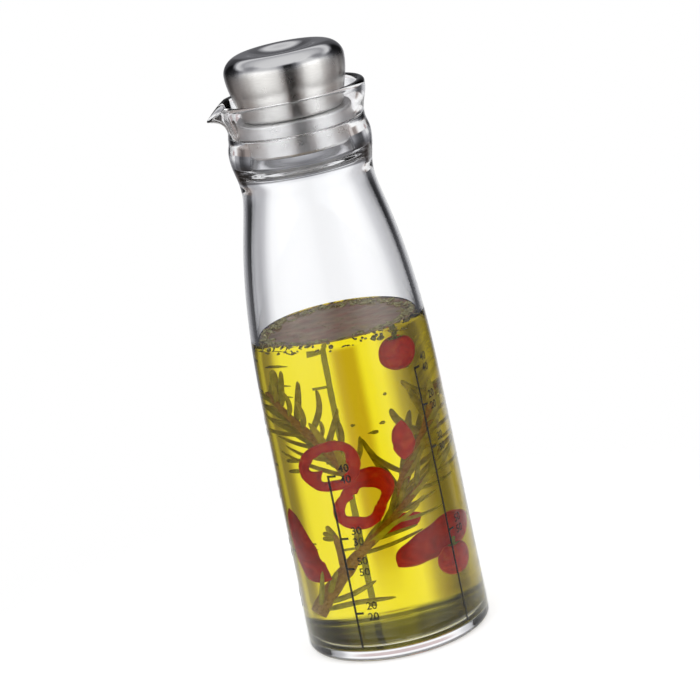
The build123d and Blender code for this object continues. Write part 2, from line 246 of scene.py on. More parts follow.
drift_tilt = (0.8, 1.4)

# Finish
oil_colour = (0.986, 0.945, 0.02, 1)
oil_density = 68
polish_low = 213.2 * mm
polish_high = 215.4 * mm
polished_roughness = 0.06
# Two dark lines round the seal; the one at the seat height is painted shade where the seal sits on the
# glass's seat
seal_lines = (seat_height, seat_height - 7 * mm)
seal_line_edge = (0.1, 0.28)
noise_middle = (0.3, 0.7)
ink_cover = 0.74
thin_ink_cover = 0.46
ink_cover_play = 0.1

# Print: each scale is its azimuth in degrees and its ticks from the top, as a height in mm and a figure
ink_depth = 0.03 * mm
line_width = 0.85 * mm
front_tick = (3 * mm, line_width)
behind_tick = (2.3 * mm, 1 * mm)
bar_step_across = 0.5 * mm
bar_step_up = 4 * mm
figures_left = 4.4 * mm
figure_height = 2.9 * mm
figure_pitch = 4.1 * mm
figure_rise = 0.8 * mm
figure_rows = 2
figure_weight = 0.05 * mm
type_height_share = 0.72
type_fineness = 3
type_cut = 0.5 * mm
print_low = 6 * mm
scale_marks = (
    (-25.5, ((71.4, "40"), (48, "30"), (36.6, "50"), (19.7, "20"))),
    (46.5, ((101.8, "40"), (87.9, "20"), (72.2, "30"), (41, "50"))),
    (118.5, ((101.8, "60"), (76, "40"), (52, "30"), (24, "10"))),
    (-97.5, ((86, "50"), (62, "30"), (40, "40"), (20, "20"))),
)
scale_marks_behind = (
    (-175.3, ((103.1, "40"), (92, "40"), (64, "60"), (30, "20"))),
)

# Studio: levels of light by degrees of azimuth, 0 behind the bottle and 90 to its right, and of elevation
light_round = (
    (-180, 0.03), (-176, 0.25), (-168, 0.85), (-158, 1.3), (-140, 1.55), (-118, 1.45), (-100, 0.85),
    (-76, 0.42), (-48, 0.13), (-40, 0.07), (-30, 0.07), (-25, 0.3), (-19, 0.42), (-9, 0.52),
    (-6, 1), (6, 1), (9, 0.72), (19, 0.62), (24, 0.34), (29, 0.07), (40, 0.07), (50, 0.13),
    (60, 0.28), (80, 0.42), (98, 0.8), (112, 1.55), (130, 1.65), (142, 1.3), (150, 0.55),
    (158, 0.24), (165, 0.03), (180, 0.03))
light_round_low = (
    (-180, 0.3), (-52, 0.3), (-47, 0.17), (-41, 0.11), (-36, 0.12), (-31, 0.2), (-26, 0.3),
    (-21, 0.48), (-18, 0.75), (-14, 1), (33, 1), (38, 0.78), (42, 0.42), (46, 0.28), (53, 0.26),
    (57, 0.6), (62, 0.6), (67, 0.3), (180, 0.3))
light_round_deep = (
    (-180, 0.4), (-60, 0.4), (-45, 0.3), (-25, 0.3), (-15, 1), (50, 1), (62, 0.45), (180, 0.4))
light_up_behind = (
    (-90, 1), (-8, 1), (-3, 0.4), (5, 0.2), (14, 0.2), (17, 0.16), (26, 0.17), (31, 0.6),
    (34, 0.95), (38, 0.9), (44, 0.55), (54, 0.75), (66, 0.95), (90, 1))
light_up_front = (
    (-90, 1.1), (-60, 1.15), (-34, 1.15), (-24, 0.75), (-12, 0.6), (0, 1.1), (8, 1.35), (20, 1.35),
    (30, 0.9), (39, 0.6), (51, 0.6), (59, 1), (90, 1))
behind_edge = (60, 95)
flank_low = (-15.5, -14)
flank_deep = (-24, -21)
flank_high = (48, 62)
flank_side = (24, 36)
shadow_side = (3, 7.5)
shadow_low = (-15, -13)
shadow_end = (-20.1, -18.2)
shadow_tone = (0.62, 0.5, 0.5, 1)
flank_tone = (0.92, 0.92, 1, 1)
low_flank_tone = (1, 0.8, 0.72, 1)
floor_drop = -0.05 * mm
floor_size = 0.6
floor_fade = (0.09, 0.2)
floor_tones = (0.82, 0.84)
floor_glow = 0.58

# Camera
camera_place = (0, -1.01753, 0.36448)
camera_yaw = 0.0025
camera_tilt = pi / 2 - 0.2479
camera_roll = -0.2034
focal_pixels = 2928
frame_pixels = 700
camera_clip = (0.05, 20)

# Mesh fineness
lathe_turn = 232
lip_turn = 130
lip_span = radians(29)


def straight(start, end, count):
    """Points from start towards end, without the end."""
    return [tuple(a + (b - a) * i / count for a, b in zip(start, end)) for i in range(count)]


def curve(start, first, second, end, count):
    """Points along a Bezier curve, without its end."""
    points = []
    for i in range(count):
        t = i / count
        shares = ((1 - t) ** 3, 3 * t * (1 - t) ** 2, 3 * t * t * (1 - t), t ** 3)
        points.append(tuple(
            sum(share * place[axis] for share, place in zip(shares, (start, first, second, end)))
            for axis in range(2)))
    return points


def arc(middle, radius, start, end, count):
    """Points round an arc, in degrees, without its end."""
    points = []
    for i in range(count):
        turn = radians(start + (end - start) * i / count)
        points.append((middle[0] + radius * cos(turn), middle[1] + radius * sin(turn)))
    return points


def wave(start, end, count):
    """A curve that is upright at both ends."""
    rise = end[1] - start[1]
    return curve(
        start, (start[0], start[1] + wave_share * rise), (end[0], end[1] - wave_share * rise), end, count)


def shoulder_curve(low, high, count):
    """A curve from the tapered body up to the neck."""
    rise = high[1] - low[1]
    reach = shoulder_long_share * rise
    return curve(
        low, (low[0] - body_taper * reach, low[1] + reach),
        (high[0], high[1] - shoulder_short_share * rise), high, count)


def below_rim(places):
    """Places given as radius and drop below the rim, in millimetres, as radius and height."""
    return [(radius * mm, rim_height - drop * mm) for radius, drop in places]


def hollow(inset):
    """The inner wall from the middle of the floor up to the throat."""
    low = floor_height + inset
    foot = bore - inset
    shoulder = (shoulder_radius - wall - inset, shoulder_height)
    throat = (throat_radius - inset, seat_height - throat_length)
    flare = (flare_radius - inset, throat[1] - flare_length)
    neck = (neck_radius - neck_wall - inset, neck_height)
    return (
        straight((0, low), (foot - floor_fillet, low), 14)
        + arc((foot - floor_fillet, low + floor_fillet), floor_fillet, -90, 0, 10)
        + straight((foot, low + floor_fillet), shoulder, 12)
        + shoulder_curve(shoulder, neck, 36)
        + wave(neck, flare, 8)
        + wave(flare, throat, 14)
        + [throat]
    )


def glass_sections():
    """The bottle's section from the foot over the rim to the inner floor, plain and through the lip."""
    rim_round = rim_wall / 2
    edge = (rim_radius, rim_height - rim_round)
    neck = (neck_radius, neck_height)
    shoulder = (shoulder_radius, shoulder_height)
    heel = base_radius - heel_radius
    foot_inner = heel - foot_width
    recess_flat = foot_inner - foot_recess_soft[0]
    recess_corner = (foot_inner - foot_recess_soft[1], foot_recess)
    collar = (collar_bore, seat_height + seat_fillet)
    outside = (
        straight((0, foot_recess), (recess_flat, foot_recess), 10)
        + curve((recess_flat, foot_recess), recess_corner, recess_corner, (foot_inner, 0), 12)
        + straight((foot_inner, 0), (heel, 0), 3)
        + arc((heel, heel_radius), heel_radius, -90, 0, 12)
        + straight((base_radius, heel_radius), shoulder, 12)
        + shoulder_curve(shoulder, neck, 36)
        + wave(neck, bulge, 14)
        + wave(bulge, waist, 10)
    )
    plain_rim = (
        wave(waist, edge, 18)
        + arc((rim_radius - rim_round, edge[1]), rim_round, 0, 180, 14)
        + wave((rim_radius - rim_wall, edge[1]), collar, 18)
    )
    lip_rim = (
        curve(*below_rim(lip_under), 18)
        + curve(*below_rim(lip_tip), 14)
        + curve(*below_rim(lip_channel), 18)
    )
    inside = (
        arc((collar_bore - seat_fillet, collar[1]), seat_fillet, 0, -90, 6)
        + straight((collar_bore - seat_fillet, seat_height), (throat_radius + seat_edge, seat_height), 3)
        + arc((throat_radius + seat_edge, seat_height - seat_edge), seat_edge, 90, 180, 5)
        + straight((throat_radius, seat_height - seat_edge), (throat_radius, seat_height - throat_length), 6)
        + hollow(0)[::-1]
    )
    return outside + plain_rim + inside, outside + lip_rim + inside


def lip_share(angle):
    """How much of the lip's section stands at an angle round the bottle: 1 at its tip and 0 beside it."""
    from_tip = min(abs(angle % (2 * pi) - pi), pi / 2)
    place = min(1, rim_radius * sin(from_tip) / lip_half_width)
    whole = hypot(1, lip_tip_softness) - lip_tip_softness
    fall = 1 - (hypot(place, lip_tip_softness) - lip_tip_softness) / whole
    return fall * (1 - lip_foot_share * exp(-fall / lip_foot_span))


def turn_angles():
    """Angles once round, closer together at the lip."""
    wide = [pi + lip_span + (2 * pi - 2 * lip_span) * i / lathe_turn for i in range(lathe_turn)]
    close = [pi - lip_span + 2 * lip_span * i / lip_turn for i in range(lip_turn)]
    return wide + close


def placed(name, data):
    made = bpy.data.objects.new(name, data)
    bpy.context.scene.collection.objects.link(made)
    return made


def add_object(name, vertices, faces, materials):
    mesh = bpy.data.meshes.new(name)
    mesh.from_pydata(vertices, [], faces)
    mesh.validate()
    mesh.shade_smooth()
    for material in materials:
        mesh.materials.append(material)
    return placed(name, mesh)


def lathe(name, material, plain, lipped=None):
    """A closed body turned from a section whose two ends lie on the axis."""
    angles = turn_angles()
    lipped = lipped or plain
    vertices = [(0, 0, plain[0][1]), (0, 0, plain[-1][1])]
    middle = list(zip(plain, lipped))[1:-1]
    for angle in angles:
        share = lip_share(angle)
        for (radius, height), (lip_radius, lip_height) in middle:
            reach = radius + share * (lip_radius - radius)
            vertices.append((reach * cos(angle), reach * sin(angle), height + share * (lip_height - height)))
    faces = []
    count = len(middle)
    for i in range(len(angles)):
        here = 2 + i * count
        there = 2 + (i + 1) % len(angles) * count
        faces.append((0, there, here))
        faces.append((1, here + count - 1, there + count - 1))
        faces += [(here + j, there + j, there + j + 1, here + j + 1) for j in range(count - 1)]
    return add_object(name, vertices, faces, [material])


# Materials

def new_material(name, settings):
    """A material whose standard shader has its sockets set by name."""
    made = bpy.data.materials.new(name)
    made.use_nodes = True
    shader = made.node_tree.nodes["Principled BSDF"]
    for socket, value in settings.items():
        shader.inputs[socket].default_value = value
    return made, made.node_tree, shader


def node(tree, kind, inputs=None, **options):
    added = tree.nodes.new(kind)
    for option, value in options.items():
        setattr(added, option, value)
    for socket, value in (inputs or {}).items():
        if isinstance(value, bpy.types.NodeSocket):
            tree.links.new(value, added.inputs[socket])
        else:
            added.inputs[socket].default_value = value
    return added


def link(source, shader, socket):
    shader.id_data.links.new(source, shader.inputs[socket])


def worked(tree, operation, *values):
    return node(tree, "ShaderNodeMath", dict(enumerate(values)), operation=operation).outputs["Value"]


def product(tree, first, second):
    return worked(tree, "MULTIPLY", first, second)


def blend(tree, factor, first, second):
    return node(tree, "ShaderNodeMix", {0: factor, 2: first, 3: second}, data_type="FLOAT").outputs[0]


def mix_colour(tree, factor, first, second, way="MIX"):
    return node(
        tree, "ShaderNodeMix", {0: factor, 6: first, 7: second}, data_type="RGBA", blend_type=way).outputs[2]


def remap(tree, value, low, high, new_low, new_high, smooth=False):
    return node(tree, "ShaderNodeMapRange", {
        "Value": value, "From Min": low, "From Max": high, "To Min": new_low, "To Max": new_high},
        interpolation_type="SMOOTHSTEP" if smooth else "LINEAR").outputs["Result"]


def ramp(tree, factor, stops):
    """Colours along a factor, from pairs of place and colour."""
    added = node(tree, "ShaderNodeValToRGB", {"Fac": factor})
    points = added.color_ramp.elements
    while len(points) < len(stops):
        points.new(0.5)
    for point, (place, colour) in zip(points, stops):
        point.position = place
        point.color = (*colour, 1)
    return added.outputs["Color"]


def texture_place(tree, stretch=(1, 1, 1)):
    """The place on the piece, in millimetres, stretched along its axes."""
    place = node(tree, "ShaderNodeTexCoord").outputs["Object"]
    size = tuple(share / mm for share in stretch)
    return node(tree, "ShaderNodeVectorMath", {0: place, 1: size}, operation="MULTIPLY").outputs["Vector"]


def grain(tree, scale, detail=3, roughness=0.55, distortion=0, stretch=(1, 1, 1)):
    return node(tree, "ShaderNodeTexNoise", {
        "Vector": texture_place(tree, stretch), "Scale": scale, "Detail": detail,
        "Roughness": roughness, "Distortion": distortion}).outputs["Fac"]


def spread(tree, noise_level, low, high):
    """A value that goes from low to high with the middle part of a noise."""
    return remap(tree, noise_level, *noise_middle, low, high)


def height_on(tree):
    """The height on the piece, in millimetres."""
    return node(tree, "ShaderNodeSeparateXYZ", {"Vector": texture_place(tree)}).outputs["Z"]


def bump(tree, shader, height, strength, depth):
    """Relief of a depth in millimetres."""
    relief = node(tree, "ShaderNodeBump", {"Height": height, "Strength": strength, "Distance": depth * mm})
    link(relief.outputs["Normal"], shader, "Normal")


def turned_material(name, settings):
    """A material with fine lines that run round the bottle's axis."""
    made, tree, shader = new_material(name, settings)
    tangent = node(tree, "ShaderNodeTangent", direction_type="RADIAL", axis="Z").outputs["Tangent"]
    link(tangent, shader, "Tangent")
    return made, tree, shader


def clear_material(name, settings, ripple, strength, depth):
    """A material that light passes through, with a faint ripple."""
    made, tree, shader = new_material(name, {"Transmission Weight": 1, "Roughness": 0, **settings})
    bump(tree, shader, grain(tree, **ripple), strength, depth)
    return made


def oil_material():
    made = clear_material(
        "dressing_oil", {"Base Color": (1, 1, 1, 1), "IOR": 1.47, "Specular Tint": (0, 0, 0, 1)},
        {"scale": 0.12, "detail": 1}, 0.3, 0.05)
    tree = made.node_tree
    volume = node(tree, "ShaderNodeVolumeAbsorption", {"Color": oil_colour, "Density": oil_density})
    link(volume.outputs["Volume"], tree.nodes["Material Output"], "Volume")
    return made


def steel_material():
    """Brushed round the side of the cap and polished over its crest and dimple."""
    made, tree, shader = turned_material("brushed_steel", {
        "Metallic": 1, "Anisotropic": 1, "Anisotropic Rotation": 0.25})
    matt = remap(tree, height_on(tree), polish_low / mm, polish_high / mm, 1, 0, smooth=True)
    lines = grain(tree, 7, 4, 0.7, stretch=(0.05, 0.05, 1))
    brushed = ramp(tree, lines, [(0.25, (0.56, 0.55, 0.535)), (0.75, (0.7, 0.69, 0.67))])
    link(mix_colour(tree, matt, (0.6, 0.6, 0.61, 1), brushed), shader, "Base Color")
    rough = product(tree, spread(tree, grain(tree, 0.16), 0.21, 0.27), matt)
    link(worked(tree, "ADD", rough, polished_roughness), shader, "Roughness")
    bump(tree, shader, product(tree, lines, matt), 0.25, 0.01)
    return made


def seal_material():
    """Clear silicone over metal: satin, with two fine dark lines round it. The line at the seat height is
    painted shade where the seal sits on the glass's seat.
    """
    made, tree, shader = turned_material("seal_silicone", {
        "Metallic": 0.75, "Anisotropic": 0.6, "Anisotropic Rotation": 0.25, "Specular IOR Level": 0.6})
    haze = grain(tree, 0.25)
    tone = ramp(tree, haze, [(0.3, (0.72, 0.715, 0.71)), (0.7, (0.82, 0.815, 0.81))])
    # Dark lines round the seal; the one at the seat height is painted shade at the glass's seat
    for line in seal_lines:
        apart = worked(tree, "ABSOLUTE", worked(tree, "SUBTRACT", height_on(tree), line / mm))
        tone = mix_colour(tree, remap(tree, apart, *seal_line_edge, 0, 1), (0.2, 0.2, 0.21, 1), tone)
    link(tone, shader, "Base Color")
    link(spread(tree, haze, 0.26, 0.34), shader, "Roughness")
    return made


def mottled(name, settings, colour_grain, stops, relief=None):
    """A material whose colour wanders between stops. relief holds its own grain, strength and depth."""
    made, tree, shader = new_material(name, settings)
    link(ramp(tree, grain(tree, *colour_grain), stops), shader, "Base Color")
    if relief:
        relief_grain, strength, depth = relief
        bump(tree, shader, grain(tree, *relief_grain), strength, depth)
    return made


def thinned(made, cover_grain, low, high):
    """The material, hiding what is behind it by an uneven share."""
    tree = made.node_tree
    link(spread(tree, grain(tree, *cover_grain), low, high), tree.nodes["Principled BSDF"], "Alpha")
    return made


def leaf_material(name, dark, light):
    return mottled(
        name, {"Roughness": 0.55, "Specular IOR Level": 0.2}, (0.35, 4, 0.6),
        [(0.3, dark), (0.7, light)], ((2.2,), 0.4, 0.08))


def ink_material(name, cover):
    ink_grain = (2.5,)
    made = mottled(
        name, {"Roughness": 0.4, "Specular IOR Level": 0.3}, ink_grain,
        [(0.3, (0.012, 0.011, 0.011)), (0.7, (0.03, 0.028, 0.027))])
    return thinned(made, ink_grain, cover, cover + ink_cover_play)


clear_glass = clear_material(
    "clear_glass", {"Base Color": (0.985, 0.99, 1, 1), "IOR": 1.5, "Specular Tint": (0.5, 0.5, 0.5, 1)},
    {"scale": 0.05, "detail": 1, "stretch": (1, 1, 0.35)}, 0.6, 0.1)
oil = oil_material()
# A cloudy layer under the dressing's surface; its reddish tone is partly painted reflection of the red
# chillies
cloudy_with_painted_reflection = thinned(mottled(
    "dressing_film", {"Roughness": 0.3, "Specular IOR Level": 0.2}, (0.07, 4, 0.6, 1.2),
    [(0.3, (0.8, 0.36, 0.26)), (0.5, (0.92, 0.64, 0.46)), (0.7, (0.97, 0.8, 0.58))]), (0.16, 4), 0.55, 0.9)
ink = ink_material("print_ink", ink_cover)
thin_ink = ink_material("thin_print_ink", thin_ink_cover)
herbs = mottled(
    "dried_herbs", {"Roughness": 0.65, "Specular IOR Level": 0.2}, (0.8, 2),
    [(0.3, (0.28, 0.2, 0.09)), (0.5, (0.52, 0.47, 0.22)), (0.7, (0.72, 0.68, 0.4))], ((3, 2), 0.4, 0.06))
chilli = mottled(
    "chilli_flesh", {
        "Roughness": 0.38, "Specular IOR Level": 0.25, "Subsurface Weight": 0.7,
        "Subsurface Radius": (1, 0.25, 0.15), "Subsurface Scale": 0.005}, (0.22, 4, 0.6, 0.6),
    [(0.28, (0.62, 0.012, 0.012)), (0.5, (0.9, 0.03, 0.018)), (0.72, (1, 0.12, 0.035))],
    ((0.9,), 0.25, 0.08))
dark_chilli = mottled(
    "dark_chilli_flesh", {
        "Roughness": 0.4, "Specular IOR Level": 0.25, "Subsurface Weight": 0.6,
        "Subsurface Radius": (1, 0.25, 0.2), "Subsurface Scale": 0.005}, (0.18, 4, 0.6, 0.8),
    [(0.28, (0.48, 0.01, 0.024)), (0.55, (0.74, 0.022, 0.032)), (0.75, (0.88, 0.08, 0.05))],
    ((0.6,), 0.3, 0.12))
stalk_green = leaf_material("chilli_stalk", (0.22, 0.27, 0.05), (0.42, 0.46, 0.12))
rosemary_materials = [
    mottled(
        "rosemary_bark", {"Roughness": 0.7, "Specular IOR Level": 0.15}, (0.9, 5, 0.7, 0.5),
        [(0.25, (0.32, 0.16, 0.07)), (0.5, (0.6, 0.36, 0.18)), (0.75, (0.74, 0.54, 0.26))],
        ((0.9, 5, 0.7, 0.5), 0.6, 0.25)),
    leaf_material("rosemary_leaf", (0.4, 0.38, 0.08), (0.8, 0.76, 0.26)),
    leaf_material("rosemary_underside", (0.62, 0.58, 0.22), (0.88, 0.84, 0.42)),
]
bark, leaf_top, leaf_under = range(3)
core_grain = (1.4, 2)
core_plastic = mottled(
    "core_plastic", {"Roughness": 0.45}, core_grain,
    [(0.3, (0.3, 0.3, 0.3)), (0.7, (0.36, 0.36, 0.36))], (core_grain, 0.15, 0.02))


# Dressing and what floats in it

def body_radius(height):
    """The outside of the glass at a height on its body."""
    rise = max(0, height - shoulder_height)
    fall = shoulder_fall * (rise / shoulder_fall_rise) ** 2
    return base_radius - body_taper * (height - heel_radius) - fall


def inner_radius(height):
    """The inside of the glass at a height of the dressing."""
    floor_rise = min(1, max(0, (height - floor_height) / floor_fillet))
    corner = floor_fillet * (1 - sqrt(1 - (1 - floor_rise) ** 2))
    return body_radius(height) - wall - corner


def inside(shares):
    """A point in the dressing: across and deep by the bore at its height, and up."""
    height = base_thickness + shares[2] * fill_depth
    reach = inner_radius(height)
    return Vector((shares[0] * reach, shares[1] * reach, height))


def kept_in(point):
    """The point, drawn in where it would stand in the glass or out of the dressing."""
    height = min(max(point.z, base_thickness + contents_room), fill_height - contents_room)
    reach = inner_radius(height) - contents_room
    out = hypot(point.x, point.y)
    share = min(1, reach / out) if out else 1
    return Vector((point.x * share, point.y * share, height))


def turns(count):
    """Angles once round, evenly spaced."""
    return [2 * pi * i / count for i in range(count)]


def oval(half_width, half_height, count):
    return [(half_width * cos(turn), half_height * sin(turn)) for turn in turns(count)]


def smooth_route(points, steps):
    """A smooth line through points, with a number of steps from each to the next."""
    route = []
    last = len(points) - 1
    for i in range(last):
        before, start, end, after = points[max(i - 1, 0)], points[i], points[i + 1], points[min(i + 2, last)]
        for step in range(steps):
            t = step / steps
            route.append(0.5 * (
                2 * start + (end - before) * t
                + (2 * before - 5 * start + 4 * end - after) * t * t
                + (3 * start - before - 3 * end + after) * t ** 3))
    return route + [points[last]]


def size_along(sizes, share, soft=False):
    """The size at a share of a length, from sizes that are evenly spaced along it."""
    span = share * (len(sizes) - 1)
    low = min(int(span), len(sizes) - 2)
    part = span - low
    if soft:
        part = part * part * (3 - 2 * part)
    return sizes[low] + part * (sizes[low + 1] - sizes[low])


def unevenness(place, seed, size):
    """A steady random value near zero, in features of a size."""
    return noise.noise(Vector(place) / size + Vector([seed * step for step in seed_steps]))


def uneven(place, seed, amount):
    """A factor near 1. The amount is the share by which it wanders and the size of its features."""
    share, size = amount
    return 1 + share * unevenness(place, seed, size)


class Build:
    """Vertices and faces of a piece that is put together from several bodies."""

    def __init__(self):
        self.vertices = []
        self.faces = []
        self.surfaces = []

    def ring(self, points):
        first = len(self.vertices)
        self.vertices += points
        return list(range(first, len(self.vertices)))

    def face(self, corners, surface=0):
        self.faces.append(tuple(corners))
        self.surfaces.append(surface)

    def join(self, low, high, surface_of=lambda j: 0):
        """Faces between two rings with as many points."""
        count = len(low)
        for j in range(count):
            k = (j + 1) % count
            self.face((low[j], low[k], high[k], high[j]), surface_of(j))

    def sweep(self, route, outline, facing, surface_of=lambda j: 0):
        """A closed body along a route. outline gives its section at a share of it, sideways and out."""
        last = len(route) - 1
        rings = []
        for i, point in enumerate(route):
            ahead = (route[min(i + 1, last)] - route[max(i - 1, 0)]).normalized()
            side = ahead.cross(facing).normalized()
            out = side.cross(ahead)
            rings.append(self.ring([point + side * a + out * b for a, b in outline(i / last)]))
        for low, high in zip(rings, rings[1:]):
            self.join(low, high, surface_of)
        self.face(reversed(rings[0]), surface_of(0))
        self.face(rings[-1], surface_of(0))

    def piece(self, name, materials, kept=True):
        """The finished piece. kept draws it in where it would stand in the glass."""
        points = [kept_in(point) if kept else point for point in self.vertices]
        made = add_object(name, points, self.faces, materials)
        made.data.polygons.foreach_set("material_index", self.surfaces)
        work = bmesh.new()
        work.from_mesh(made.data)
        bmesh.ops.recalc_face_normals(work, faces=work.faces)
        work.to_mesh(made.data)
        work.free()
        return made


def chilli_ring(name, shares, width, height, lean, seed, thick_at, thick_span):
    """A slice of chilli that faces the front, uneven all round, with thicker flesh to one side."""
    build = Build()
    middle = inside(shares)
    lean_turn = radians(lean)
    across = Vector((cos(lean_turn), 0, -sin(lean_turn)))
    up = Vector((sin(lean_turn), 0, cos(lean_turn)))
    rings = []
    for turn in turns(ring_around):
        out = across * cos(turn) + up * sin(turn)
        reach = Vector((cos(turn) * width / 2, sin(turn) * height / 2)).length
        reach *= uneven((cos(turn), sin(turn), 0), seed, ring_uneven)
        from_thick = abs((turn - radians(thick_at) + pi) % (2 * pi) - pi)
        flesh = ring_flesh * (
            uneven((cos(turn), sin(turn), 5), seed, ring_flesh_uneven)
            + ring_thick_share * exp(-(from_thick / radians(thick_span)) ** 2))
        points = []
        for corner in oval(1, 1, ring_section):
            a, b = (copysign(abs(side) ** ring_corner_power, side) for side in corner)
            wrinkle = ring_wrinkle * unevenness((turn * 3, a, b), seed + 2, ring_wrinkle_size)
            points.append(
                middle + out * (reach - flesh / 2 + a * flesh / 2 + wrinkle)
                + front * (b * ring_slice / 2 + ring_bow * sin(turn + seed)))
        rings.append(build.ring(points))
    for low, high in zip(rings, rings[1:] + rings[:1]):
        build.join(low, high)
    return build.piece(name, [chilli])


def pod(material, name, radius, size_shares, flat_share, seed, places):
    """A chilli or a long slice of one, tapered to both ends and a little wrinkled."""
    build = Build()
    sizes = (0, *size_shares, 0)

    def outline(share):
        belly = 1 - pod_belly_share + pod_belly_share * sin(share * pi)
        size = radius * max(pod_end_share, sqrt(max(0, size_along(sizes, share, soft=True))) * belly)
        points = []
        for a, b in oval(1, 1, pod_around):
            crease = uneven((a, b, share * 5), seed, pod_uneven)
            points.append((a * size * crease, b * size * flat_share * crease))
        return points

    build.sweep(smooth_route([inside(place) for place in places], pod_steps), outline, front)
    return build.piece(name, [material])


def round_chilli(name, shares, radius, seed):
    """A round chilli with a dimple for its stalk."""
    build = Build()
    middle = inside(shares)
    rings = []
    for row in range(1, round_rows):
        fall = pi * row / round_rows
        dimple = round_dimple * exp(-(fall / round_dimple_span) ** 2)
        points = []
        for turn in turns(round_around):
            way = Vector((sin(fall) * cos(turn), sin(fall) * sin(turn), cos(fall)))
            lobes = round_lobe_share * cos(round_lobes * turn + seed) * sin(fall)
            size = radius * (uneven(way, seed, round_uneven) + lobes)
            points.append(middle + size * (way - Vector((0, 0, dimple))))
        rings.append(build.ring(points))
    for high, low in zip(rings, rings[1:]):
        build.join(high, low)
    build.face(rings[0])
    build.face(reversed(rings[-1]))
    return build.piece(name, [chilli])


def stalk(name, shares, radius):
    """A short curved stalk in a round chilli's dimple, with its star of leaves."""
    build = Build()
    foot = inside(shares) + Vector((0, 0, stalk_foot_share * radius))
    middle = foot + Vector((stalk_bend, 0, stalk_length / 2))
    top = foot + Vector((*stalk_offset, stalk_length))

    def stalk_outline(share):
        size = stalk_radius * (stalk_foot_size - stalk_taper * share)
        return oval(size, size, 12)

    def leaf_outline(share):
        return oval(star_half_width * (1 - star_taper * share), star_half_thickness, 8)

    build.sweep(smooth_route([foot, middle, top], 5), stalk_outline, front)
    for turn in turns(star_leaves):
        way = Vector((cos(turn + star_turn), sin(turn + star_turn), star_rise))
        tip = foot + way * star_reach * radius
        leaf = smooth_route([foot, (foot + tip) / 2 + Vector((0, 0, star_arch)), tip], 4)
        build.sweep(leaf, leaf_outline, Vector((0, 0, 1)))
    return build.piece(name, [stalk_green])


def add_needle(build, start, end, bend, facing, width):
    """A rosemary leaf with rolled edges, dark above and pale below."""
    route = smooth_route([start, (start + end) / 2 + bend, end], needle_steps)

    def outline(share):
        swell = min(1, needle_foot_share + needle_swell * share) * sqrt(1 - share ** needle_tip_power)
        half = max(needle_least_half, width / 2 * swell)
        thick = max(needle_least_thick, needle_thickness / 2 * swell)
        points = []
        for a, b in oval(1, 1, needle_around):
            lift = thick * b * (1 if b > 0 else needle_under_share)
            points.append((half * a, lift - needle_roll_share * half * a * a))
        return points

    build.sweep(route, outline, facing, lambda j: leaf_top if j < needle_around // 2 else leaf_under)


def add_stem(build, places, radius, size_shares, seed):
    route = smooth_route([inside(place) for place in places], stem_steps)

    def outline(share):
        size = radius * size_along(size_shares, share)
        points = []
        for place in oval(size, size, stem_around):
            corner = (place[0] / size, place[1] / size, share * 9)
            points.append([side * uneven(corner, seed + i, stem_uneven) for i, side in enumerate(place)])
        return points

    build.sweep(route, outline, front, lambda j: bark)
    return route


def add_leaves(build, route, pairs, bare, seed):
    """Leaves in crossed pairs along a stem, leaning towards its tip."""
    chance = random.Random(seed)
    last = len(route) - 1
    for number in range(pairs):
        share = bare + (1 - bare) * number / pairs
        place = route[min(int(share * last), last - 1)]
        ahead = (route[min(int(share * last) + 1, last)] - place).normalized()
        across = ahead.cross(front).normalized()
        deep = across.cross(ahead)
        first_turn = number % 2 * pair_turn + chance.uniform(-pair_turn_play, pair_turn_play)
        for turn in (first_turn, first_turn + pi):
            out = across * cos(turn) + deep * sin(turn)
            lean = radians(chance.uniform(*leaf_lean))
            reach = needle_length * chance.uniform(*leaf_length_play) * (1 - leaf_taper * share)
            end = place + (ahead * cos(lean) + out * sin(lean)) * reach
            bend = out * reach * chance.uniform(*leaf_bend_play)
            facing = (ahead * leaf_ahead_share - out + front * leaf_front_share).normalized()
            add_needle(build, place, end, bend, facing, needle_width * chance.uniform(*leaf_width_play))


def sprig(name, pairs, bare, stem_seed, leaf_seed, size_shares, places, twigs=(), long_leaves=()):
    """A stem, its twigs, leaves in pairs, and long leaves with places of their own."""
    build = Build()
    route = add_stem(build, places, stem_radius, size_shares, stem_seed)
    for twig in twigs:
        add_stem(build, *twig)
    add_leaves(build, route, pairs, bare, leaf_seed)
    for number, ends in enumerate(long_leaves):
        first, last = (inside(place) for place in ends)
        bend = Vector((0, 0, long_leaf_bend * (last - first).length * (1 if number % 2 else -1)))
        add_needle(build, first, last, bend, long_leaf_facing, needle_width)
    return build.piece(name, rosemary_materials)


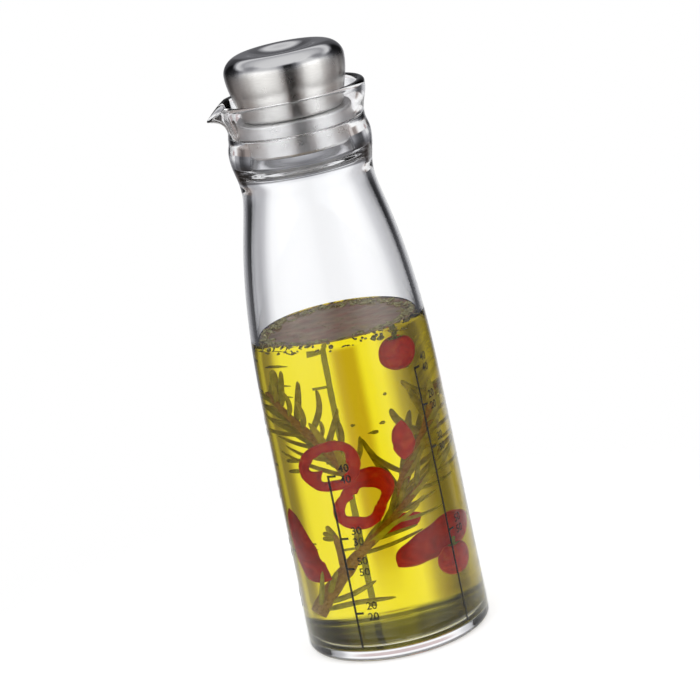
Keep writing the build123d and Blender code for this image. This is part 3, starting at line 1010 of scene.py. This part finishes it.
def herb_flecks():
    """Dried herbs: most float in a ring by the glass, some hang below, a few drift lower down."""
    build = Build()
    chance = random.Random(herb_seed)
    surface_reach = inner_radius(fill_height)

    def fleck(place, size, tilt):
        count = chance.randint(*herb_corners)
        turn = chance.uniform(0, 2 * pi) + chance.uniform(0, 2 * pi)
        spin = Matrix.Rotation(turn, 3, "Z") @ Matrix.Rotation(tilt, 3, "X")
        long = chance.uniform(*herb_length_play)
        outline = [
            Vector((*spot, 0)) * size * chance.uniform(*herb_corner_play) for spot in oval(long, 1, count)]
        thick = Vector((0, 0, herb_half_thickness))
        low = build.ring([place + spin @ (point - thick) for point in outline])
        high = build.ring([place + spin @ (point * herb_top_share + thick) for point in outline])
        build.join(low, high)
        build.face(reversed(low))
        build.face(high)

    def scatter(reach_of, rise_of, count, sizes, tilt):
        """Flecks all round, each at a reach from the axis and a rise over the dressing's level."""
        for number in range(count):
            turn = chance.uniform(0, 2 * pi)
            reach = reach_of()
            place = Vector((reach * sin(turn), -reach * cos(turn), fill_height + rise_of(reach)))
            fleck(place, chance.uniform(*sizes) * mm, chance.uniform(-tilt, tilt))

    scatter(
        lambda: surface_reach * (1 - herb_band * chance.random() ** herb_band_power) - herb_band_gap,
        lambda reach: meniscus(surface_reach - reach) + chance.uniform(*herb_float),
        count=260, sizes=(0.45, 1.25), tilt=0.6)
    scatter(
        lambda: surface_reach * chance.uniform(*herb_middle), lambda reach: -herb_middle_drop,
        count=46, sizes=(0.2, 0.5), tilt=0.2)
    scatter(
        lambda: surface_reach - chance.uniform(*herb_hang_gap),
        lambda reach: -herb_hang_depth * chance.random() ** herb_hang_power,
        count=260, sizes=(0.3, 0.95), tilt=1.2)
    for place in drifting_herbs:
        fleck(inside(place), chance.uniform(*drift_size), chance.uniform(*drift_tilt))
    return build.piece("herb_flecks", [herbs], kept=False)


def meniscus(from_wall):
    """How far the dressing climbs at a distance from the glass."""
    return meniscus_rise * exp(-max(0, from_wall) / meniscus_reach)


def dressing():
    """The oil, which reaches a little into the glass so that no air lies between them."""
    wall_reach = inner_radius(fill_height)
    reach = wall_reach + liquid_overlap
    outline = [place for place in hollow(-liquid_overlap) if place[1] < fill_height + meniscus_rise]
    surface = [(reach, fill_height + meniscus_rise)]
    for i in range(1, surface_rings + 1):
        out = reach * (1 - (i / surface_rings) ** 2)
        surface.append((out, fill_height + meniscus(wall_reach - out)))
    return lathe("dressing_liquid", oil, outline + surface)


def film():
    """The cloudy layer of vinegar and oil just under the dressing's surface. Its reddish tone is partly
    painted reflection of the red chillies on the surface.
    """
    reach = inner_radius(fill_height) - film_gap
    top = fill_height - film_drop
    radii = [reach * i / film_rings for i in range(film_rings + 1)]
    low = [(out, top - film_thickness + meniscus(reach - out)) for out in radii]
    high = [(out, top + meniscus(reach - out)) for out in reversed(radii)]
    return lathe("dressing_film", cloudy_with_painted_reflection, low + high)


# Print

def laid(across, up, out, azimuth):
    """A point of flat artwork laid on the glass: azimuth 0 faces the front, and across runs to the right."""
    turn = azimuth + across / base_radius
    reach = body_radius(up) + out
    return Vector((reach * sin(turn), -reach * cos(turn), up))


def add_bar(build, left, right, low, high, azimuth):
    """A printed bar, as a thin body half sunk in the glass."""
    columns = ceil((right - left) / bar_step_across)
    rows = ceil((high - low) / bar_step_up)
    under, over = (
        [build.ring([
            laid(left + (right - left) * i / columns, low + (high - low) * j / rows, out, azimuth)
            for i in range(columns + 1)]) for j in range(rows + 1)]
        for out in (-ink_depth, ink_depth))
    for j in range(rows):
        for i in range(columns):
            build.face((over[j][i], over[j][i + 1], over[j + 1][i + 1], over[j + 1][i]))
            build.face((under[j][i], under[j + 1][i], under[j + 1][i + 1], under[j][i + 1]))
    edge = (
        [(0, i) for i in range(columns)] + [(j, columns) for j in range(rows)]
        + [(rows, i) for i in range(columns, 0, -1)] + [(j, 0) for j in range(rows, 0, -1)])
    build.join([under[j][i] for j, i in edge], [over[j][i] for j, i in edge])


def add_figures(build, figures, left, low, azimuth):
    """Plain figures, cut from flat type and laid on the glass."""
    type_curve = bpy.data.curves.new("figures", "FONT")
    type_curve.body = figures
    type_curve.size = figure_height / type_height_share
    type_curve.offset = figure_weight
    type_curve.resolution_u = type_fineness
    flat = placed("figures", type_curve)
    mesh = bpy.data.meshes.new_from_object(flat.evaluated_get(bpy.context.evaluated_depsgraph_get()))
    bpy.data.objects.remove(flat)
    work = bmesh.new()
    work.from_mesh(mesh)
    width = max(vertex.co.x for vertex in work.verts)
    for number in range(1, int(width / type_cut) + 1):
        bmesh.ops.bisect_plane(
            work, geom=work.verts[:] + work.edges[:] + work.faces[:],
            plane_co=(number * type_cut, 0, 0), plane_no=(1, 0, 0))
    thick = bmesh.ops.extrude_face_region(work, geom=work.faces[:])
    raised = {part for part in thick["geom"] if isinstance(part, bmesh.types.BMVert)}
    bmesh.ops.recalc_face_normals(work, faces=work.faces)
    work.verts.index_update()
    places = build.ring([
        laid(left + vertex.co.x, low + vertex.co.y, ink_depth if vertex in raised else -ink_depth, azimuth)
        for vertex in work.verts])
    for face in work.faces:
        build.face([places[vertex.index] for vertex in face.verts])
    work.free()
    bpy.data.meshes.remove(mesh)


def scales(name, printed, tick, material):
    """Scales: a long line each, with short ticks to its right and the figure of a tick in two rows."""
    build = Build()
    tick_reach, tick_weight = tick
    for degrees_round, marks in printed:
        azimuth = radians(degrees_round)
        add_bar(build, -line_width / 2, line_width / 2, print_low, marks[0][0] * mm, azimuth)
        for mark, figures in marks:
            height = mark * mm
            add_bar(build, line_width / 2, tick_reach, height - tick_weight, height, azimuth)
            for row in range(figure_rows):
                add_figures(build, figures, figures_left, height + figure_rise - row * figure_pitch, azimuth)
    return build.piece(name, [material], kept=False)


# Studio

def level_ramp(tree, angle, levels):
    """A level of light by an angle, from pairs of degrees and level over the angle's full span."""
    span = levels[-1][0]
    most = max(level for at, level in levels)
    place = remap(tree, angle, -radians(span), radians(span), 0, 1)
    shade = ramp(tree, place, [(0.5 + 0.5 * at / span, (level / most,) * 3) for at, level in levels])
    return product(tree, shade, most)


def step(tree, angle, edges, first=0, last=1):
    """A soft step of a value, between two edges in degrees."""
    return remap(tree, angle, *(radians(edge) for edge in edges), first, last, smooth=True)


def studio_world():
    """Soft light: a white backdrop, dark flanks beside it for the glass, and two broad lamps in front."""
    world = bpy.data.worlds.new("studio")
    bpy.context.scene.world = world
    world.use_nodes = True
    tree = world.node_tree
    way = node(tree, "ShaderNodeTexCoord").outputs["Generated"]
    parts = node(tree, "ShaderNodeSeparateXYZ", {"Vector": way}).outputs
    turn = worked(tree, "ARCTAN2", parts["X"], parts["Y"])
    rise = worked(tree, "ARCSINE", parts["Z"])
    away = worked(tree, "ABSOLUTE", turn)
    in_front = step(tree, away, behind_edge)
    above_low = step(tree, rise, flank_low)

    low_level = blend(
        tree, step(tree, rise, flank_deep),
        level_ramp(tree, turn, light_round_deep), level_ramp(tree, turn, light_round_low))
    round_level = level_ramp(tree, turn, light_round)
    round_level = blend(tree, in_front, blend(tree, above_low, low_level, round_level), round_level)
    high = blend(tree, in_front, step(tree, rise, flank_side), step(tree, rise, flank_high))
    round_level = blend(tree, high, round_level, 1)
    up_level = blend(
        tree, in_front, level_ramp(tree, rise, light_up_behind), level_ramp(tree, rise, light_up_front))

    # The camera itself sees plain white
    seen = node(tree, "ShaderNodeLightPath").outputs["Is Camera Ray"]
    strength = blend(tree, seen, product(tree, round_level, up_level), 1)
    tone = mix_colour(tree, above_low, low_flank_tone, flank_tone)
    tone = mix_colour(tree, strength, tone, (1, 1, 1, 1))

    # A brown shade low behind the bottle, for the middle of the oil
    shadow = product(tree, step(tree, away, shadow_side, 1, 0), step(tree, rise, shadow_low, 1, 0))
    shadow = product(tree, shadow, step(tree, rise, shadow_end))
    shadow = product(tree, shadow, worked(tree, "SUBTRACT", 1, seen))
    tone = mix_colour(tree, shadow, tone, shadow_tone, way="MULTIPLY")
    background = tree.nodes["Background"]
    link(tone, background, "Color")
    link(strength, background, "Strength")


def floor():
    """A pale floor that keeps the bottle's shadow and fades into the white around it."""
    material, tree, shader = new_material("pale_floor", {
        "Roughness": 0.9, "Specular IOR Level": 0, "Emission Color": (1, 1, 1, 1)})
    stops = [(place, (tone,) * 3) for place, tone in zip(noise_middle, floor_tones)]
    link(ramp(tree, grain(tree, 0.02, 2), stops), shader, "Base Color")
    path = node(tree, "ShaderNodeLightPath").outputs
    seen = worked(tree, "MAXIMUM", path["Is Camera Ray"], path["Is Glossy Ray"])
    link(product(tree, seen, floor_glow), shader, "Emission Strength")
    place = node(tree, "ShaderNodeTexCoord").outputs["Object"]
    away = node(tree, "ShaderNodeVectorMath", {0: place}, operation="LENGTH").outputs["Value"]
    fade = remap(tree, away, *floor_fade, 1, 0, smooth=True)
    solid = worked(tree, "SUBTRACT", 1, path["Is Transmission Ray"])
    link(product(tree, fade, solid), shader, "Alpha")
    corners = [(x * floor_size, y * floor_size, floor_drop) for x, y in ((-1, -1), (1, -1), (1, 1), (-1, 1))]
    made = add_object("studio_floor", corners, [range(4)], [material])


def photo_camera():
    """The photograph's place and framing: a long lens, a little above the bottle, rolled a little."""
    lens = bpy.data.cameras.new("photo_camera")
    lens.lens = lens.sensor_width * focal_pixels / frame_pixels
    lens.clip_start, lens.clip_end = camera_clip
    made = placed("photo_camera", lens)
    turn = Matrix.Rotation(-camera_yaw, 4, "Z") @ Matrix.Rotation(camera_tilt, 4, "X")
    made.matrix_world = Matrix.Translation(camera_place) @ turn @ Matrix.Rotation(camera_roll, 4, "Z")
    bpy.context.scene.camera = made


def put(piece, slot, *nodes):
    """The piece rides on the bottle and stands for nodes of the part, which are hidden. The slot is not
    used.
    """
    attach(piece, "bottle")
    if nodes:
        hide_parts(*nodes)


put(lathe("glass_body", clear_glass, *glass_sections()), "glass", "glass_bottle")
put(dressing(), "oil", "dressing")
put(film(), "oil")
put(scales("printed_scales", scale_marks, front_tick, ink), "glass")
put(scales("printed_scale_behind", scale_marks_behind, behind_tick, thin_ink), "glass")
put(herb_flecks(), "rosemary")

for name, stands_for, *form in chilli_rings:
    put(chilli_ring(name, *form), "chilli", stands_for)
for material, pods in ((dark_chilli, long_pods), (chilli, small_pods)):
    for name, stands_for, *form in pods:
        put(pod(material, name, *form), "chilli", stands_for)
for name, stands_for, *form in round_chillies:
    put(round_chilli(name, *form), "chilli", stands_for)
for name, stands_for, place, radius, seed in round_chillies:
    put(stalk(name + "_stalk", place, radius), "stalk", stands_for + "_stalk")
for name, stands_for, *form in sprigs:
    put(sprig(name, *form), "rosemary", stands_for)

stopper = {"stopper_cap": steel_material(), "stopper_core": core_plastic, "stopper_seal": seal_material()}
for name, material in stopper.items():
    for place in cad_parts[name].material_slots:
        place.material = material

studio_world()
floor()
photo_camera()
bpy.context.scene.view_settings.view_transform = "Standard"
